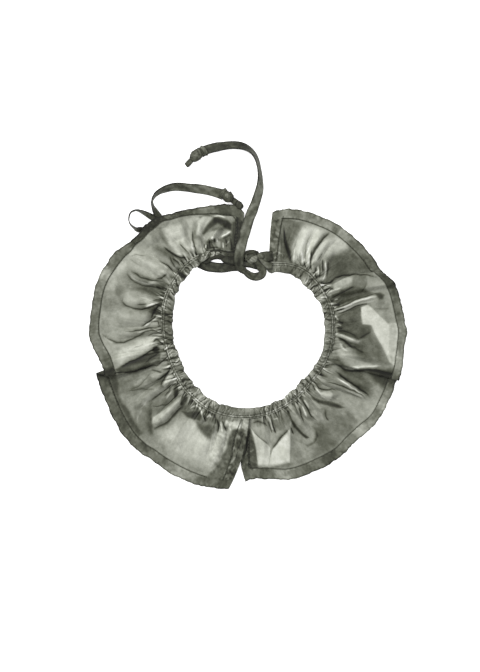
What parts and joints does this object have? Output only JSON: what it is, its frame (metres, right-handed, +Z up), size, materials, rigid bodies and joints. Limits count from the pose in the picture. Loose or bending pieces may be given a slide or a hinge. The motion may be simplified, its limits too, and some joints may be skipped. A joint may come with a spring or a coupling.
{
  "type": "detachable collar",
  "caption": "Round ruffled cloth collar laid flat, with a gathered neck casing, split front, open back and a knotted drawstring.",
  "frame": {"origin": "middle of the collar's outline, without its drawstring, on the surface it lies on", "axes": "+Z up out of the outer side of the cloth, +Y towards the back opening, +X towards the wearer's left as laid"},
  "size_m": [0.2669, 0.292, 0.009],
  "materials": {
    "cloth": "light grey-green dyed cloth with a soft sheen",
    "drawstring": "flat tube of the same cloth, doubled and darker"
  },
  "bodies": {
    "root": {"neck_casing": "cloth", "ruffle_left": "cloth", "ruffle_right": "cloth", "drawstring_knot": "drawstring", "drawstring_exit_left": "drawstring", "drawstring_exit_right": "drawstring", "front_tail": "drawstring", "front_tail_knot": "drawstring", "back_tail": "drawstring", "back_tail_knot": "drawstring"}
  },
  "joints": []
}
